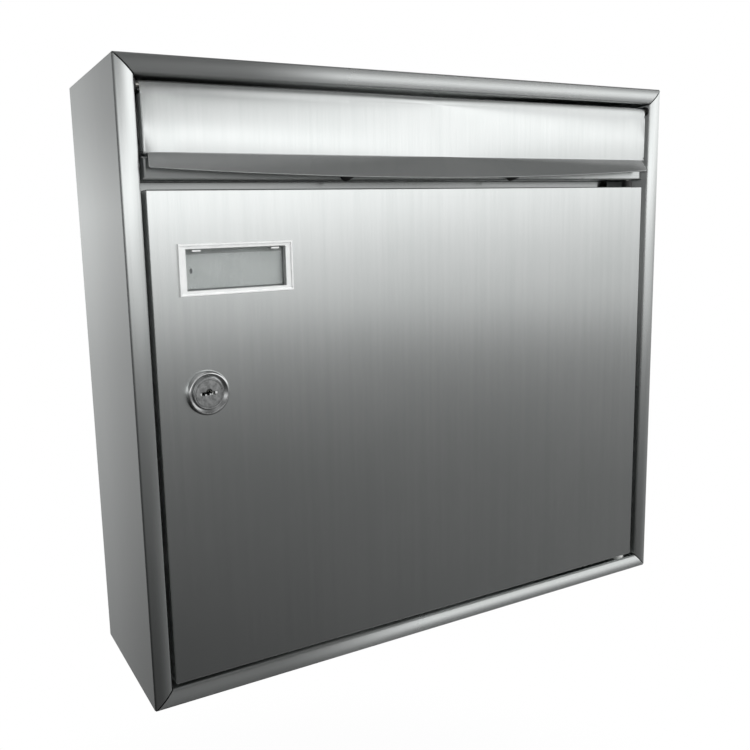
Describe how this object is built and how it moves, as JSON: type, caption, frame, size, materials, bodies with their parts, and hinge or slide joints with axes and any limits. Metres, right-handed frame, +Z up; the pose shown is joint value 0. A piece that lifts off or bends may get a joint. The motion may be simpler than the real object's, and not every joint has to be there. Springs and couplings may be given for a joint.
{
  "type": "wall mounted mailbox",
  "caption": "Shallow folded metal letter box for a wall, with a top hung letter flap, a side hung door, a cylinder lock and a name plate.",
  "frame": {"origin": "centre of the four wall screw holes, on the plane of the wall", "axes": "+X to the right as seen from the front, +Y into the wall, +Z up"},
  "size_m": [0.37, 0.1077, 0.336],
  "materials": {
    "stainless": "brushed along one direction",
    "dark_nylon": "moulded, matt",
    "white_nylon": "moulded, matt",
    "black_rubber": "moulded, matt",
    "clear_plastic": "clear, smooth",
    "card": "uncoated card",
    "grey_plastic": "moulded, matt",
    "lock_chrome": "polished plate",
    "zinc_steel": "zinc plated",
    "brass": "stamped"
  },
  "bodies": {
    "casing": {"casing_left": "stainless", "casing_right": "stainless", "casing_top": "stainless", "casing_bottom": "stainless", "back_panel": "stainless", "cross_rail": "stainless", "rail_rivets": "stainless", "flap_buffers": "black_rubber", "door_buffers": "black_rubber", "flap_bush_left": "dark_nylon", "flap_bush_right": "dark_nylon", "hinge_pin_upper": "stainless", "hinge_pin_lower": "stainless"},
    "flap": {"flap_panel": "stainless", "flap_rod": "stainless", "rod_caps": "stainless"},
    "door": {"door_panel": "stainless", "hinge_bush_upper": "dark_nylon", "hinge_bush_lower": "white_nylon", "name_cover": "clear_plastic", "name_card": "card", "name_holder": "grey_plastic", "lock_body": "lock_chrome", "lock_washer": "zinc_steel", "lock_nut": "zinc_steel"},
    "lock_core": {"lock_core": "lock_chrome", "wafers": "brass", "wafer_springs": "zinc_steel", "cam": "zinc_steel", "cam_washer": "zinc_steel", "cam_screw": "zinc_steel"}
  },
  "joints": [
    {"name": "door_hinge", "type": "hinge", "parent": "casing", "child": "door", "pos_m": [0.1635, -0.093, -0.026], "axis": [0, 0, 1], "range_deg": [0, 110]},
    {"name": "flap_hinge", "type": "hinge", "parent": "casing", "child": "flap", "pos_m": [0, -0.09675, 0.15375], "axis": [-1, 0, 0], "range_deg": [0, 85]},
    {"name": "lock_turn", "type": "hinge", "parent": "door", "child": "lock_core", "pos_m": [-0.146, -0.09, 0.0005], "axis": [0, 1, 0], "range_deg": [0, 90]}
  ]
}
